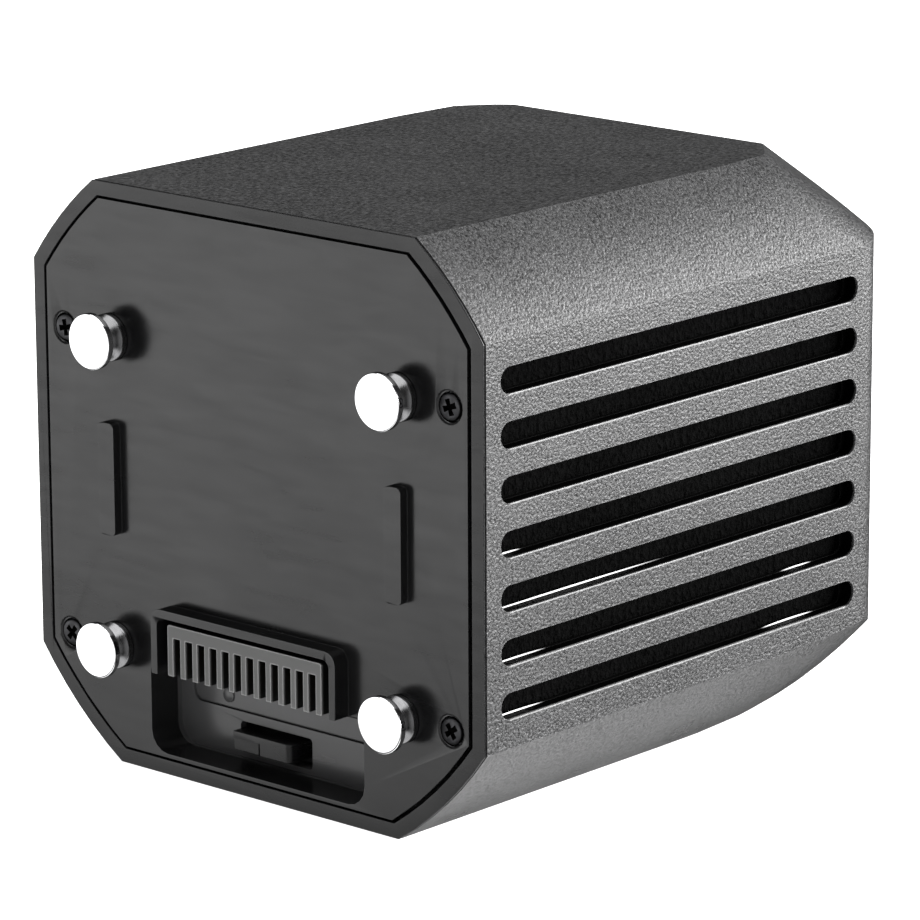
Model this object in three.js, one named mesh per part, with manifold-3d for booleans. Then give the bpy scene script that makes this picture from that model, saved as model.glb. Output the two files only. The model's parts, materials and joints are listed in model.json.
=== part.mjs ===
// Slide-on mains power adapter for a battery-driven studio flash head.
//
// Units are millimetres. While the pieces are being shaped, the mating face lies in
// the plane y = 0 and is centred on x = z = 0; +Y runs into the body, +Z is up and
// +X is to the right for someone looking at the mating face. The last step moves
// everything so that the origin is the middle of the bounding box's bottom face.

import * as THREE from 'three';
import { ConvexGeometry } from 'three/addons/geometries/ConvexGeometry.js';
import { mergeVertices } from 'three/addons/utils/BufferGeometryUtils.js';
import Module from 'manifold-3d';

const wasm = await Module();
wasm.setup();

// ---------------------------------------------------------------- dimensions

const GAP = 0.3;

// Body outline: an octagon with different cuts at the top and the bottom corners.
const WIDTH = 111;
const HEIGHT = 110;
const DEPTH = 113.5;
const TOP_CUT = {
  x: 15.9,
  z: 16.6,
  bow: 0.9,
  flare: { x: 32.6, z: 16.2, start: 95.4, power: 1.4 },
};
const BOTTOM_CUT = {
  x: 20.5,
  z: 19.5,
  bow: 1.3,
  flare: { x: 25.6, z: 21.7, start: 72.4, power: 2.76 },
};
const WALL = 2.4;

// Rear end: over the last stretch the sides and the top and bottom round in elliptically.
const REAR_SIDE = { reach: 6.9, drop: 4.4 };
const REAR_TOP = { reach: 7.8, drop: 7.8 };
const REAR_STATIONS = [2, 2.6, 2.1, 2.3, 1.9, 1.5, 1.2, 0.9, 0.6, 0.4, 0.2];

// Bezel frame.
const RIM_WIDTH = 2.75;
const RIM_DEPTH = 0.35;
const SHELL_FRONT = 0.8;
const TONGUE_OUT = 1.1;
const REBATE_OUT = 0.8;
const REBATE_DEPTH = 4.3;
const LEDGE_IN = 5.0;
const LEDGE_FRONT = 2.8;
const LEDGE_BACK = 4.0;
const EAR_BACK = 9.0;

// Mating plate.
const PLATE_INSET = 3.25;
const PLATE_TRIM = { left: 0.15, right: 0.45 };
const PLATE_THICK = 2.5;
const PATTERN_TOP = 26.2;
const PATTERN_BOTTOM = -32.35;
const STUD_X = 35.65;
const SCREW_X = 47.6;
const RIB = { halfWidth: 2.0, top: 10.3, bottom: -11.0, rise: 1.8 };

// Recess in the lower half of the plate, and the hood over its upper part.
const RECESS = { halfWidth: 26.8, top: -34.6, bottom: -51.0, floor: 8.0, corner: 4.0 };
const HOOD = { halfWidth: 23.1, top: -22.15, side: 1.5, roof: 1.6, rise: 3.5, corner: 2.4 };
const FLOOR_STEP = { halfWidth: 23.6, bottom: -42.4, depth: 0.6 };
const TRAY_WALL = 1.8;
const TRAY_BACK = 10.4;

// Comb connector.
const COMB = { halfWidth: 19.3, top: -24.8, bottom: -34.5, front: -3.0, back: 8.2 };
const COMB_SLOTS = 12;
const COMB_PITCH = 3.09;
const COMB_SLOT_WIDTH = 1.85;
const COMB_SLOT_TOP = -27.2;
const COMB_SLOT_DEPTH = 7.0;
const FOOT = { halfWidth: 18.3, top: -26.3, bottom: -33.0, back: 11.0 };
const BLADE = { half: 0.3, front: 0.6, top: -28.2, bottom: -33.6 };
const BUS = { top: -29.8, bottom: -31.2, front: 4.6, back: 5.3 };
const BOARD_Y = [11.4, 13.0];

// Mushroom stud.
const STUD = { head: 5.22, face: -5.5, headBack: -4.4, neck: 3.0, collar: 4.7, shank: 2.4, end: 8.6 };

// Latch tab.
const LATCH = { left: -10.7, right: 4.0, top: -45.2, bottom: -48.7, face: 5.0, groove: -4.2 };
const LATCH_SLOT = { left: -11.6, right: 6.5, top: -44.1, bottom: -50.0 };
const FLANGE = { front: 10.8, back: 12.2, lip: 0.7 };
const GUIDE = { left: -14.6, right: 9.5, top: -41.9, bottom: -52.2, front: 10.7, back: 25.2, wall: 1.2 };
const SPRING = { x: -3.7, z: -47.05, radius: 2.9, wire: 0.45, turns: 4 };

// Side vents.
const VENT_COUNT = 7;
const VENT_TOP = 33.5;
const VENT_PITCH = 9.79;
const VENT_HEIGHT = 4.88;
const VENT_Y = [4.5, 105.1];
const LINER_X = [52.0, 52.75];
const SCREEN_X = [51.1, 51.7];
const VENT_PANEL = { y0: 4.7, y1: 105.6, z0: -33.5, z1: 36.5 };

// Rear wall.
const FAN = { x: -18, z: 14, half: 25, bore: 23.4, front: 95.5, back: 110.5, hole: 20 };
const INLET = {
  x: 12,
  z: -30,
  flangeX: 24.5,
  flangeZ: 12,
  bodyX: 13.6,
  bodyZ: 10.1,
  front: 91.5,
  screw: 20,
};
const FLANGE_THICK = 1.8;
const SWITCH = {
  x: 30,
  z: 10,
  flangeX: 7.9,
  flangeZ: 10.8,
  bodyX: 6.9,
  bodyZ: 9.8,
  front: 100.5,
  openX: 5.5,
  openZ: 8.7,
};
const ROCKER_TILT = 8;
const ROCKER_PIVOT = DEPTH - 0.6;
const LENS = { x: 30, z: 32, radius: 2.5 };

// Main board and what stands on it.
const BOARD = { halfWidth: 40, y0: 28, y1: 98.5, bottom: -44.8, top: -43.2 };
const STAND = BOARD.top + GAP;
const CARRIER_BOTTOM = -52.2;

// Finishes: colour, roughness, metalness.
const BODY_PLASTIC = [0x4a4c4e, 0.62, 0.0];
const FACE_PLASTIC = [0x2a2b2c, 0.42, 0.0];
const COMB_PLASTIC = [0x6e6e6d, 0.6, 0.0];
const DARK_PLASTIC = [0x18191a, 0.5, 0.0];
const SCREEN_FOAM = [0x101011, 0.95, 0.0];
const CHROME = [0xe6e7e8, 0.1, 1.0];
const BLACK_STEEL = [0x232425, 0.4, 0.9];
const ZINC = [0xb9bcc0, 0.35, 1.0];
const BRASS = [0xc9a45a, 0.35, 1.0];
const ALUMINIUM = [0xb4b7ba, 0.4, 1.0];
const BOARD_GREEN = [0x1e5a38, 0.5, 0.0];
const COPPER_WIRE = [0xa85a2c, 0.45, 0.6];
const FERRITE = [0x38393b, 0.7, 0.1];
const CAN_BLACK = [0x22262e, 0.4, 0.2];
const FILM_BOX = [0xc8a23a, 0.55, 0.0];
const CARRIER_WHITE = [0xc9c9c2, 0.6, 0.0];
const LENS_GREEN = [0x3fae5a, 0.2, 0.0];
const LEAD_BROWN = [0x6a3d22, 0.55, 0.0];
const LEAD_BLUE = [0x24508f, 0.55, 0.0];
const LEAD_RED = [0xa22420, 0.55, 0.0];
const LEAD_BLACK = [0x191919, 0.55, 0.0];

// ---------------------------------------------------------------- shape helpers

function solid(geometry) {
  geometry.deleteAttribute('normal');
  geometry.deleteAttribute('uv');
  const merged = mergeVertices(geometry, 1e-4);
  const vertProperties = new Float32Array(merged.attributes.position.array);
  const triVerts = new Uint32Array(merged.index.array);
  return new wasm.Manifold(new wasm.Mesh({ numProp: 3, vertProperties, triVerts }));
}

function surface(body) {
  const mesh = body.getMesh();
  const geometry = new THREE.BufferGeometry();
  geometry.setAttribute('position', new THREE.BufferAttribute(new Float32Array(mesh.vertProperties), 3));
  geometry.setIndex(new THREE.BufferAttribute(new Uint32Array(mesh.triVerts), 1));
  return geometry;
}

function joined(bodies) {
  return bodies.reduce((sum, body) => sum.add(body));
}

function box(x0, x1, y0, y1, z0, z1) {
  const geometry = new THREE.BoxGeometry(x1 - x0, y1 - y0, z1 - z0);
  geometry.translate((x0 + x1) / 2, (y0 + y1) / 2, (z0 + z1) / 2);
  return solid(geometry);
}

function rodY(radius, y0, y1, x, z, segments = 20) {
  const geometry = new THREE.CylinderGeometry(radius, radius, y1 - y0, segments);
  geometry.translate(x, (y0 + y1) / 2, z);
  return solid(geometry);
}

function rodZ(radius, z0, z1, x, y, segments = 24) {
  const geometry = new THREE.CylinderGeometry(radius, radius, z1 - z0, segments);
  geometry.rotateX(Math.PI / 2);
  geometry.translate(x, y, (z0 + z1) / 2);
  return solid(geometry);
}

function rodX(radius, x0, x1, y, z, segments = 16) {
  const geometry = new THREE.CylinderGeometry(radius, radius, x1 - x0, segments);
  geometry.rotateZ(Math.PI / 2);
  geometry.translate((x0 + x1) / 2, y, z);
  return solid(geometry);
}

// Profile points are [radius, y]; the axis is parallel to Y through (x, z).
function turnedY(profile, x, z, segments = 28) {
  const points = profile.map(([r, y]) => new THREE.Vector2(r, y));
  const geometry = new THREE.LatheGeometry(points, segments);
  geometry.translate(x, 0, z);
  return solid(geometry);
}

// A shape drawn in (x, z) and swept from y0 to y1.
function prismY(shape, y0, y1, curveSegments = 3) {
  const geometry = new THREE.ExtrudeGeometry(shape, { depth: y1 - y0, bevelEnabled: false, curveSegments });
  geometry.rotateX(Math.PI / 2);
  geometry.translate(0, y1, 0);
  return solid(geometry);
}

// A shape drawn in (y, z) and swept from x0 to x1.
function prismX(shape, x0, x1, curveSegments = 4) {
  const geometry = new THREE.ExtrudeGeometry(shape, { depth: x1 - x0, bevelEnabled: false, curveSegments });
  const turn = new THREE.Matrix4().makeBasis(
    new THREE.Vector3(0, 1, 0),
    new THREE.Vector3(0, 0, 1),
    new THREE.Vector3(1, 0, 0),
  );
  geometry.applyMatrix4(turn);
  geometry.translate(x0, 0, 0);
  return solid(geometry);
}

function prismZ(shape, z0, z1, curveSegments = 4) {
  const geometry = new THREE.ExtrudeGeometry(shape, { depth: z1 - z0, bevelEnabled: false, curveSegments });
  geometry.translate(0, 0, z0);
  return solid(geometry);
}

// Rectangle with its own radius at the lower and the upper corners.
function roundedRect(a0, a1, b0, b1, lower, upper = lower) {
  const shape = new THREE.Shape();
  shape.moveTo(a0 + lower, b0);
  shape.lineTo(a1 - lower, b0);
  shape.absarc(a1 - lower, b0 + lower, lower, -Math.PI / 2, 0, false);
  shape.lineTo(a1, b1 - upper);
  shape.absarc(a1 - upper, b1 - upper, upper, 0, Math.PI / 2, false);
  shape.lineTo(a0 + upper, b1);
  shape.absarc(a0 + upper, b1 - upper, upper, Math.PI / 2, Math.PI, false);
  shape.lineTo(a0, b0 + lower);
  shape.absarc(a0 + lower, b0 + lower, lower, Math.PI, 1.5 * Math.PI, false);
  return shape;
}

function polygon(points) {
  return new THREE.Shape(points.map(([a, b]) => new THREE.Vector2(a, b)));
}

function wire(points, radius, steps = 10) {
  const path = new THREE.CatmullRomCurve3(points.map(([x, y, z]) => new THREE.Vector3(x, y, z)));
  const section = new THREE.Shape();
  section.absarc(0, 0, radius, 0, 2 * Math.PI, false);
  const geometry = new THREE.ExtrudeGeometry(section, { steps, extrudePath: path, curveSegments: 3 });
  return solid(geometry);
}

// How far a wall has rounded in at depth y.
function roundedIn(y, { reach, drop }) {
  const part = Math.max(0, (y - DEPTH + reach) / reach);
  return drop * (1 - Math.sqrt(Math.max(0, 1 - part * part)));
}

// The corner cut at depth y: it widens from its flare's start to the rear wall.
function cutAt(y, cut) {
  const { x, z, start, power } = cut.flare;
  const part = Math.max(0, (y - start) / (DEPTH - start)) ** power;
  return { x: cut.x + (x - cut.x) * part, z: cut.z + (z - cut.z) * part, bow: cut.bow };
}

// Where the corner cut, moved inwards by inset, meets the side at x = a and the top at z = b.
function cutEnds(cut, inset, a, b) {
  const length = Math.hypot(cut.x, cut.z);
  const nx = cut.z / length;
  const nz = cut.x / length;
  const reach = (nx * WIDTH) / 2 + nz * (HEIGHT / 2 - cut.z) - inset;
  const side = [a, (reach - nx * a) / nz];
  const end = [(reach - nz * b) / nx, b];
  const chord = Math.hypot(side[0] - end[0], side[1] - end[1]);
  return { side, end, bow: cut.bow * (chord / length) ** 2 };
}

// The bowed cut as an arc from one point to another, bulging to the right of the
// direction of travel, which is outwards on an outline drawn anticlockwise.
function bowedTo(shape, from, to, bow) {
  const dx = to[0] - from[0];
  const dz = to[1] - from[1];
  const chord = Math.hypot(dx, dz);
  const radius = (chord * chord / 4 + bow * bow) / (2 * bow);
  const middle = [(from[0] + to[0]) / 2, (from[1] + to[1]) / 2];
  const cx = middle[0] - (dz / chord) * (radius - bow);
  const cz = middle[1] + (dx / chord) * (radius - bow);
  const start = Math.atan2(from[1] - cz, from[0] - cx);
  const stop = Math.atan2(to[1] - cz, to[0] - cx);
  shape.absarc(cx, cz, radius, start, stop, false);
}

// Outline of the body at depth y, moved inwards by inset.
function outlineAt(y, inset) {
  const a = WIDTH / 2 - roundedIn(y, REAR_SIDE) - inset;
  const b = HEIGHT / 2 - roundedIn(y, REAR_TOP) - inset;
  const low = cutEnds(cutAt(y, BOTTOM_CUT), inset, a, b);
  const high = cutEnds(cutAt(y, TOP_CUT), inset, a, b);
  const lowSide = [low.side[0], -low.side[1]];
  const lowEnd = [low.end[0], -low.end[1]];
  const mirrored = (point) => [-point[0], point[1]];
  const shape = new THREE.Shape();
  shape.moveTo(lowEnd[0], lowEnd[1]);
  bowedTo(shape, lowEnd, lowSide, low.bow);
  shape.lineTo(high.side[0], high.side[1]);
  bowedTo(shape, high.side, high.end, high.bow);
  shape.lineTo(-high.end[0], high.end[1]);
  bowedTo(shape, mirrored(high.end), mirrored(high.side), high.bow);
  shape.lineTo(-lowSide[0], lowSide[1]);
  bowedTo(shape, mirrored(lowSide), mirrored(lowEnd), low.bow);
  return shape;
}

function faceOutline(inset) {
  return outlineAt(0, inset);
}

// The convex body through the outlines at all depths, moved inwards by inset on every side.
function bodyBlock(front, inset) {
  const depths = [front, BOTTOM_CUT.flare.start, 84];
  let depth = DEPTH;
  const rear = [...REAR_STATIONS].reverse().map((step) => {
    depth -= step;
    return depth;
  });
  depths.push(...rear.reverse(), DEPTH);
  const points = [];
  for (const y of depths) {
    for (const { x, y: z } of outlineAt(y, inset).getPoints(3)) {
      points.push(new THREE.Vector3(x, Math.max(front, y - inset), z));
    }
  }
  return solid(new ConvexGeometry(points));
}

function ventShape(index) {
  const top = VENT_TOP - index * VENT_PITCH;
  return roundedRect(VENT_Y[0], VENT_Y[1], top - VENT_HEIGHT, top, VENT_HEIGHT / 2 - 0.05);
}

function patternPoints(x) {
  return [
    ['top_left', -x, PATTERN_TOP],
    ['top_right', x, PATTERN_TOP],
    ['bottom_left', -x, PATTERN_BOTTOM],
    ['bottom_right', x, PATTERN_BOTTOM],
  ];
}

function combSlotX(index) {
  return (index - (COMB_SLOTS - 1) / 2) * COMB_PITCH;
}

function crossRecess(x, z, depth, turn) {
  const arms = [0, Math.PI / 2].map((extra) => {
    const geometry = new THREE.BoxGeometry(3.4, 2 * depth, 0.9);
    geometry.rotateY(turn + extra);
    geometry.translate(x, 0, z);
    return solid(geometry);
  });
  return joined(arms);
}

// ---------------------------------------------------------------- body and face

function housingShell() {
  let body = bodyBlock(SHELL_FRONT, 0);
  body = body.subtract(prismY(faceOutline(REBATE_OUT), 0, REBATE_DEPTH));
  body = body.subtract(bodyBlock(0, WALL));
  for (let i = 0; i < VENT_COUNT; i += 1) {
    body = body.subtract(prismX(ventShape(i), -60, 60, 2));
  }
  return rearOpenings(body);
}

function rearOpenings(shell) {
  const inner = DEPTH - WALL - 2;
  const outer = DEPTH + 2;
  let body = shell;
  for (let i = 0; i < 6; i += 1) {
    const z = (i - 2.5) * 6.2;
    const half = Math.sqrt(21.6 ** 2 - z ** 2);
    const slot = roundedRect(FAN.x - half, FAN.x + half, FAN.z + z - 1.7, FAN.z + z + 1.7, 1.6);
    body = body.subtract(prismY(slot, inner, outer, 2));
  }
  for (const [, x, z] of fanHoles()) {
    body = body.subtract(rodY(1.8, inner, outer, x, z, 12));
    body = body.subtract(rodY(3.1, DEPTH - 1.4, outer, x, z, 16));
  }
  const mouth = roundedRect(
    INLET.x - INLET.bodyX - GAP,
    INLET.x + INLET.bodyX + GAP,
    INLET.z - INLET.bodyZ - GAP,
    INLET.z + INLET.bodyZ + GAP,
    1,
  );
  body = body.subtract(prismY(mouth, inner, outer, 2));
  for (const side of [-1, 1]) {
    body = body.subtract(rodY(1.7, inner, outer, INLET.x + side * INLET.screw, INLET.z, 12));
  }
  const well = SWITCH.bodyX + GAP;
  const wellZ = SWITCH.bodyZ + GAP;
  const opening = box(SWITCH.x - well, SWITCH.x + well, inner, outer, SWITCH.z - wellZ, SWITCH.z + wellZ);
  body = body.subtract(opening);
  return body.subtract(rodY(LENS.radius + GAP, inner, outer, LENS.x, LENS.z, 16));
}

function bezelFrame() {
  const inner = faceOutline(RIM_WIDTH);
  let body = prismY(faceOutline(0), 0, RIM_DEPTH);
  body = body.add(prismY(faceOutline(TONGUE_OUT), RIM_DEPTH / 2, LEDGE_BACK));
  body = body.subtract(prismY(inner, -1, LEDGE_FRONT));
  body = body.subtract(prismY(faceOutline(LEDGE_IN), 0, LEDGE_BACK + 1));
  const trayHalf = RECESS.halfWidth + TRAY_WALL + 0.8;
  const rimInner = -HEIGHT / 2 + RIM_WIDTH;
  body = body.subtract(box(-trayHalf, trayHalf, LEDGE_FRONT - 0.5, LEDGE_BACK + 1, rimInner, -40));
  for (const [, x, z] of patternPoints(SCREW_X)) {
    const side = Math.sign(x);
    const ends = [side * 43.8, side * 50.7].sort((a, b) => a - b);
    const ear = box(ends[0], ends[1], LEDGE_FRONT, EAR_BACK, z - 3.8, z + 3.8);
    body = body.add(ear).subtract(rodY(1.5, 0, EAR_BACK + 1, x, z, 12));
  }
  return body;
}

// Outline of the recess, with the narrow part that runs up under the hood.
function recessCut(y0, y1, lower, upper) {
  const wide = roundedRect(-RECESS.halfWidth, RECESS.halfWidth, RECESS.bottom, RECESS.top, lower, upper);
  const inner = HOOD.halfWidth - HOOD.side;
  const narrow = roundedRect(-inner, inner, RECESS.top - 2, HOOD.top - HOOD.roof, 0.5, 1.5);
  return prismY(wide, y0, y1, 2).add(prismY(narrow, y0, y1, 2));
}

function matingPlate() {
  const trim = (PLATE_TRIM.left + PLATE_TRIM.right) / WIDTH;
  let body = prismY(faceOutline(PLATE_INSET), 0, PLATE_THICK).scale([1 - trim, 1, 1]);
  body = body.translate([(PLATE_TRIM.left - PLATE_TRIM.right) / 2, 0, 0]);
  const halfTray = RECESS.halfWidth + TRAY_WALL;
  const plateFoot = -HEIGHT / 2 + PLATE_INSET;
  body = body.add(box(-halfTray, halfTray, 1, TRAY_BACK, plateFoot, RECESS.top + TRAY_WALL));
  body = body.add(box(-22.7, 22.7, 1, TRAY_BACK, RECESS.top, HOOD.top));
  const hood = roundedRect(-HOOD.halfWidth, HOOD.halfWidth, RECESS.top, HOOD.top, 0.3, HOOD.corner);
  body = body.add(prismY(hood, -HOOD.rise, 1.5, 2));
  for (const side of [-1, 1]) {
    const centre = side * STUD_X;
    const rib = roundedRect(centre - RIB.halfWidth, centre + RIB.halfWidth, RIB.bottom, RIB.top, 1.0);
    body = body.add(prismY(rib, -RIB.rise, 1, 2));
  }
  body = body.subtract(recessCut(-10, RECESS.floor, RECESS.corner, 1.0));
  const step = roundedRect(-FLOOR_STEP.halfWidth, FLOOR_STEP.halfWidth, FLOOR_STEP.bottom, -20, 2);
  const stepBody = prismY(step, RECESS.floor - 1, RECESS.floor + FLOOR_STEP.depth, 2);
  body = body.subtract(stepBody.intersect(recessCut(0, 20, RECESS.corner, 1.0)));
  body = body.add(rodY(1.35, RECESS.floor + 0.35, RECESS.floor + 1, -15.1, -40.1, 14));
  const footHole = FOOT.halfWidth + GAP;
  body = body.subtract(box(-footHole, footHole, 5, 12, FOOT.bottom - 0.4, FOOT.top + 0.4));
  const slot = roundedRect(LATCH_SLOT.left, LATCH_SLOT.right, LATCH_SLOT.bottom, LATCH_SLOT.top, 0.8);
  body = body.subtract(prismY(slot, 5, 12, 3));
  for (const [, x, z] of patternPoints(STUD_X)) {
    body = body.subtract(rodY(STUD.shank + GAP, -1, 5, x, z, 14));
  }
  for (const [, x, z] of patternPoints(SCREW_X)) {
    const flare = [[0, -0.5], [3.6, -0.5], [3.3, 0], [2.76, 0.35]];
    const seat = [...flare, [2.76, 1.5], [1.6, 1.5], [1.6, 4], [0, 4]];
    body = body.subtract(turnedY(seat, x, z, 20));
  }
  return body;
}

function mountStud(x, z) {
  const { head, neck, collar } = STUD;
  return turnedY([
    [0, STUD.face],
    [head - 0.3, STUD.face],
    [head - 0.08, STUD.face + 0.08],
    [head, STUD.face + 0.3],
    [head, STUD.headBack],
    [neck + 0.3, STUD.headBack + 0.15],
    [neck, -3.9],
    [neck, -2.95],
    [neck + 0.55, -2.75],
    [neck + 1.1, -2.3],
    [collar - 0.25, -1.6],
    [collar, -0.9],
    [collar, -0.15],
    [STUD.shank, -0.15],
    [STUD.shank, STUD.end],
    [0, STUD.end],
  ], x, z, 26);
}

function studNut(x, z) {
  const nut = rodY(4.7, PLATE_THICK + GAP, PLATE_THICK + 4.3, x, z, 6);
  return nut.subtract(rodY(STUD.shank + GAP, 0, 10, x, z, 14));
}

function plateScrew(x, z, turn) {
  const body = turnedY([
    [0, 0.08],
    [2.1, 0.08],
    [2.42, 0.3],
    [2.42, 1.2],
    [1.2, 1.2],
    [1.2, 10.5],
    [0, 10.5],
  ], x, z, 14);
  return body.subtract(crossRecess(x, z, 0.95, turn));
}

// ---------------------------------------------------------------- connector

function connectorBlock() {
  const face = roundedRect(-COMB.halfWidth, COMB.halfWidth, COMB.bottom, COMB.top, 0.3, 0.5);
  let body = prismY(face, COMB.front, COMB.back, 2);
  body = body.add(box(-FOOT.halfWidth, FOOT.halfWidth, COMB.back - 1, FOOT.back, FOOT.bottom, FOOT.top));
  const half = COMB_SLOT_WIDTH / 2;
  for (let i = 0; i < COMB_SLOTS; i += 1) {
    const x = combSlotX(i);
    const back = COMB.front + COMB_SLOT_DEPTH;
    body = body.subtract(box(x - half, x + half, COMB.front - 1, back, COMB.bottom - 1, COMB_SLOT_TOP));
  }
  for (const [first, last] of [[0, 4], [5, 6], [7, 11]]) {
    const x0 = combSlotX(first) - BLADE.half - 0.35;
    const x1 = combSlotX(last) + BLADE.half + 0.35;
    body = body.subtract(box(x0, x1, 3, FOOT.back + 1, BUS.bottom - 0.35, BUS.top + 0.35));
  }
  return body;
}

// Contact blades of neighbouring slots on one bar, with two tails to the small board.
function contactBus(first, last) {
  const x0 = combSlotX(first);
  const x1 = combSlotX(last);
  let body = box(x0 - BLADE.half, x1 + BLADE.half, BUS.front, BUS.back, BUS.bottom, BUS.top);
  for (let i = first; i <= last; i += 1) {
    const x = combSlotX(i);
    body = body.add(box(x - BLADE.half, x + BLADE.half, BLADE.front, 3.6, BLADE.bottom, BLADE.top));
    body = body.add(box(x - BLADE.half, x + BLADE.half, 3.4, BUS.front + 0.2, BUS.bottom, BUS.top));
  }
  for (const x of [x0, x1]) {
    const tail = [BUS.front, BOARD_Y[1] + 0.8, BUS.bottom + 0.3, BUS.top - 0.3];
    body = body.add(box(x - BLADE.half, x + BLADE.half, ...tail));
  }
  return body;
}

function connectorBoard() {
  let body = box(-21, 21, BOARD_Y[0], BOARD_Y[1], -37, -23.5);
  for (const slot of [0, 4, 5, 6, 7, 11]) {
    const x = combSlotX(slot);
    body = body.subtract(box(x - 0.65, x + 0.65, 10, 14, BUS.bottom - 0.1, BUS.top + 0.1));
  }
  return body;
}

// ---------------------------------------------------------------- latch

// A bar with its right end rounded back, a groove across its face and a lower left half.
function latchTab() {
  const { left, right, top, bottom, face, groove } = LATCH;
  const plan = new THREE.Shape();
  plan.moveTo(left, face);
  plan.lineTo(right - 1.6, face);
  plan.quadraticCurveTo(right, face, right, face + 2.2);
  plan.lineTo(right, FLANGE.front + 0.5);
  plan.lineTo(left, FLANGE.front + 0.5);
  plan.closePath();
  let body = prismZ(plan, bottom, top, 5);
  const { lip } = FLANGE;
  const slot = LATCH_SLOT;
  const { front, back } = FLANGE;
  const flange = box(slot.left - lip, slot.right + lip, front, back, slot.bottom - lip, slot.top + lip);
  body = body.add(flange).add(rodY(1.6, back - 0.5, 15, SPRING.x, SPRING.z, 16));
  body = body.subtract(box(groove - 0.25, groove + 0.25, face - 1, face + 0.6, bottom - 1, top - 1.2));
  return body.subtract(box(left - 1, groove, face - 1, face + 0.25, bottom - 1, top - 1.3));
}

function latchGuide() {
  const g = GUIDE;
  const { wall } = g;
  let body = box(g.left, g.right, g.front, g.back, g.bottom, g.top);
  const hollow = [g.front - 1, g.back - wall, g.bottom + wall, g.top - wall];
  body = body.subtract(box(g.left + wall, g.right - wall, ...hollow));
  return body.add(rodY(1.6, 21, g.back - 0.5, SPRING.x, SPRING.z, 16));
}

class Helix extends THREE.Curve {
  constructor(radius, y0, y1, turns, x, z) {
    super();
    Object.assign(this, { radius, y0, y1, turns, x, z });
  }

  getPoint(t, target = new THREE.Vector3()) {
    const angle = 2 * Math.PI * this.turns * t;
    const y = this.y0 + (this.y1 - this.y0) * t;
    return target.set(this.x + this.radius * Math.cos(angle), y, this.z + this.radius * Math.sin(angle));
  }
}

function latchSpring() {
  const y0 = FLANGE.back + GAP + SPRING.wire;
  const y1 = GUIDE.back - GUIDE.wall - GAP - SPRING.wire;
  const path = new Helix(SPRING.radius, y0, y1, SPRING.turns, SPRING.x, SPRING.z);
  const section = new THREE.Shape();
  section.absarc(0, 0, SPRING.wire, 0, 2 * Math.PI, false);
  const geometry = new THREE.ExtrudeGeometry(section, { steps: 40, extrudePath: path, curveSegments: 3 });
  return solid(geometry);
}

// ---------------------------------------------------------------- vents

function sidePanel(side, range) {
  const ends = [side * range[0], side * range[1]].sort((a, b) => a - b);
  const p = VENT_PANEL;
  return box(ends[0], ends[1], p.y0, p.y1, p.z0, p.z1);
}

function ventLiner(side) {
  let body = sidePanel(side, LINER_X);
  for (let i = 0; i < VENT_COUNT; i += 1) {
    const top = VENT_TOP - i * VENT_PITCH;
    const slot = roundedRect(VENT_Y[0] + 1, VENT_Y[1] - 1, top - VENT_HEIGHT, top, 1.6);
    body = body.subtract(prismX(slot, -60, 60, 1));
  }
  return body;
}

// ---------------------------------------------------------------- fan

function fanHoles() {
  return [[-1, -1], [1, -1], [-1, 1], [1, 1]].map(([sx, sz], index) => [
    index + 1,
    FAN.x + sx * FAN.hole,
    FAN.z + sz * FAN.hole,
  ]);
}

function fanFrame() {
  const f = FAN;
  const square = roundedRect(f.x - f.half, f.x + f.half, f.z - f.half, f.z + f.half, 3);
  let body = prismY(square, f.front, f.back, 2);
  body = body.subtract(rodY(f.bore, f.front - 1, f.back + 1, f.x, f.z, 28));
  for (let i = 0; i < 3; i += 1) {
    const arm = new THREE.BoxGeometry(14.5, 2, 2.4);
    arm.translate(17.5, f.back - 1, 0);
    arm.rotateY((2 * Math.PI * i) / 3 + 0.5);
    arm.translate(f.x, 0, f.z);
    body = body.add(solid(arm));
  }
  body = body.add(rodY(11.8, f.back - 2, f.back, f.x, f.z, 20));
  body = body.add(rodY(1.5, f.back - 7, f.back - 1, f.x, f.z, 10));
  for (const [, x, z] of fanHoles()) {
    body = body.subtract(rodY(1.8, f.front - 1, f.back + 1, x, z, 10));
  }
  return body;
}

function fanRotor() {
  const f = FAN;
  const hubBack = f.back - 2.6;
  let body = turnedY([
    [0, f.front + 1.2],
    [10.3, f.front + 1.2],
    [11.3, f.front + 2.2],
    [11.3, hubBack],
    [1.85, hubBack],
    [1.85, hubBack - 6],
    [0, hubBack - 6],
  ], f.x, f.z, 20);
  for (let i = 0; i < 7; i += 1) {
    const blade = new THREE.BoxGeometry(12, 1.1, 12.5);
    blade.rotateX(0.75);
    blade.translate(16.3, (f.front + hubBack) / 2 + 0.6, 0);
    blade.rotateY((2 * Math.PI * i) / 7);
    blade.translate(f.x, 0, f.z);
    body = body.add(solid(blade));
  }
  return body;
}

function fanScrew(x, z) {
  const body = turnedY([
    [0, DEPTH - 12],
    [1.4, DEPTH - 12],
    [1.4, DEPTH - 1.1],
    [2.8, DEPTH - 1.1],
    [2.8, DEPTH - 0.4],
    [2.3, DEPTH - 0.1],
    [0, DEPTH - 0.1],
  ], x, z, 12);
  const recess = crossRecess(0, 0, 0.9, 0.4).translate([x, DEPTH, z]);
  return body.subtract(recess);
}

// ---------------------------------------------------------------- mains inlet and switch

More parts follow.
